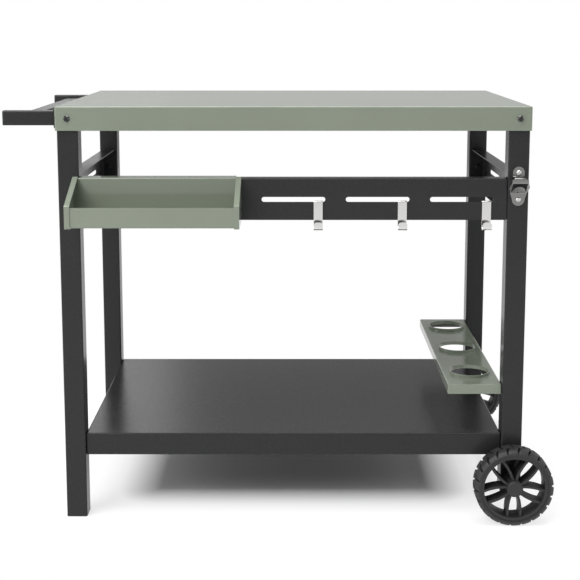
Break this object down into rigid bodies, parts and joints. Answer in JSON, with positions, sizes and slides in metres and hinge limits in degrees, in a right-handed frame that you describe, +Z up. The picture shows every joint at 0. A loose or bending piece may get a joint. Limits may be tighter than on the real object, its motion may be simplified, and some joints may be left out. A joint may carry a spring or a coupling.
{
  "type": "serving cart",
  "caption": "Wheeled serving cart with a folded-sheet worktop, lower shelf, slotted hook rail, lift-off tray, bottle rack and wall-type bottle opener on a square-tube frame.",
  "frame": {"origin": "on the floor, under the middle of the cart's overall length and depth", "axes": "+X to the wheel side, +Y from the tray side to the back, +Z up through the worktop"},
  "size_m": [1.054, 0.7056, 0.81],
  "materials": {
    "frame_black": "satin black powder coat",
    "sage_green": "semi-gloss sage green powder coat",
    "bright_steel": "bright polished",
    "zinc_steel": "zinc plated",
    "black_plastic": "black moulded",
    "tyre_grey": "dark grey moulded"
  },
  "bodies": {
    "cart_frame": {"axle_nuts": "zinc_steel", "axle_rod": "zinc_steel", "axle_washers": "zinc_steel", "bottle_opener": "bright_steel", "bottle_rack": "sage_green", "front_rail": "frame_black", "front_rail_screws": "zinc_steel", "handle_arm_front": "frame_black", "handle_arm_rear": "frame_black", "handle_bar": "frame_black", "handle_bolts": "zinc_steel", "handle_cap_front": "black_plastic", "handle_cap_rear": "black_plastic", "handle_plate_front": "frame_black", "handle_plate_rear": "frame_black", "leg_front_left": "frame_black", "leg_front_right": "frame_black", "leg_plug_front_left": "black_plastic", "leg_plug_front_right": "black_plastic", "leg_plug_rear_left": "black_plastic", "leg_plug_rear_right": "black_plastic", "leg_rear_left": "frame_black", "leg_rear_right": "frame_black", "lower_shelf": "frame_black", "opener_screws": "zinc_steel", "rack_screws": "zinc_steel", "shelf_screws": "zinc_steel", "shelf_stiffeners": "frame_black", "side_rail_left": "frame_black", "side_rail_right": "frame_black", "side_rail_screws": "zinc_steel", "weld_nuts": "zinc_steel", "worktop": "sage_green", "worktop_screws": "zinc_steel", "worktop_stiffeners": "sage_green"},
    "wheel_front": {"wheel_rim_front": "tyre_grey", "wheel_tyre_front": "tyre_grey", "hub_cap_front": "tyre_grey"},
    "wheel_rear": {"wheel_rim_rear": "tyre_grey", "wheel_tyre_rear": "tyre_grey", "hub_cap_rear": "tyre_grey"},
    "hook_1": {"hook_1": "bright_steel"},
    "hook_2": {"hook_2": "bright_steel"},
    "hook_3": {"hook_3": "bright_steel"},
    "tray": {"tray_trough": "sage_green", "tray_end_left": "sage_green", "tray_end_right": "sage_green"}
  },
  "joints": [
    {"name": "wheel_front_spin", "type": "hinge", "parent": "cart_frame", "child": "wheel_front", "pos_m": [0.451, -0.28125, 0.076], "axis": [0, 1, 0], "continuous": true},
    {"name": "wheel_rear_spin", "type": "hinge", "parent": "cart_frame", "child": "wheel_rear", "pos_m": [0.451, 0.32775, 0.076], "axis": [0, 1, 0], "continuous": true},
    {"name": "hook_1_slide", "type": "slide", "parent": "cart_frame", "child": "hook_1", "axis": [1, 0, 0], "range_m": [-0.094, 0]},
    {"name": "hook_2_slide", "type": "slide", "parent": "cart_frame", "child": "hook_2", "axis": [1, 0, 0], "range_m": [-0.094, 0]},
    {"name": "hook_3_slide", "type": "slide", "parent": "cart_frame", "child": "hook_3", "axis": [1, 0, 0], "range_m": [-0.094, 0]},
    {"name": "tray_lift", "type": "slide", "parent": "cart_frame", "child": "tray", "axis": [0, 0, 1], "range_m": [0, 0.06]}
  ]
}
